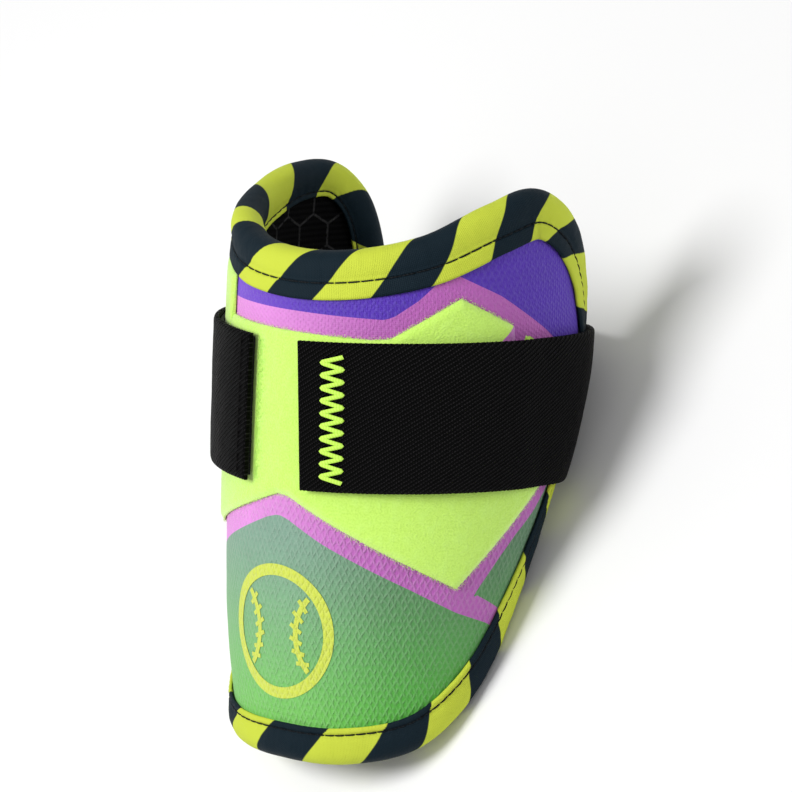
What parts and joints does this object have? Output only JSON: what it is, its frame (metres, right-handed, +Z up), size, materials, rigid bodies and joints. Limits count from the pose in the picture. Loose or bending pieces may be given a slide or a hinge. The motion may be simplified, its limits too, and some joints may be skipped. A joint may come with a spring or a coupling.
{
  "type": "baseball elbow guard",
  "caption": "Moulded elbow pad for a young batter, wrapping the outside of the arm, with a bound edge, a loop patch and an elastic strap closed across the back.",
  "frame": {"origin": "bottom centre of the bounding box, with the guard lying on a table on its strap and rims, the arm's opening below", "axes": "+Y along the guard towards its shoulder end, +Z up out through the spine of the pad, +X to the right of +Y as seen from above"},
  "size_m": [0.1026, 0.1592, 0.0879],
  "materials": {
    "pad_cover": "embossed knit, soft sheen",
    "lining_knit": "matt ribbed knit",
    "loop_fabric": "brushed loop pile",
    "binding_knit": "smooth stretch knit",
    "strap_elastic": "woven twill elastic",
    "hook_fabric": "matt hook tape"
  },
  "bodies": {
    "root": {"pad": "pad_cover", "lining": "lining_knit", "loop_patch": "loop_fabric", "binding": "binding_knit", "strap": "strap_elastic", "hook_tab_right": "hook_fabric", "hook_tab_left": "hook_fabric"}
  },
  "joints": []
}
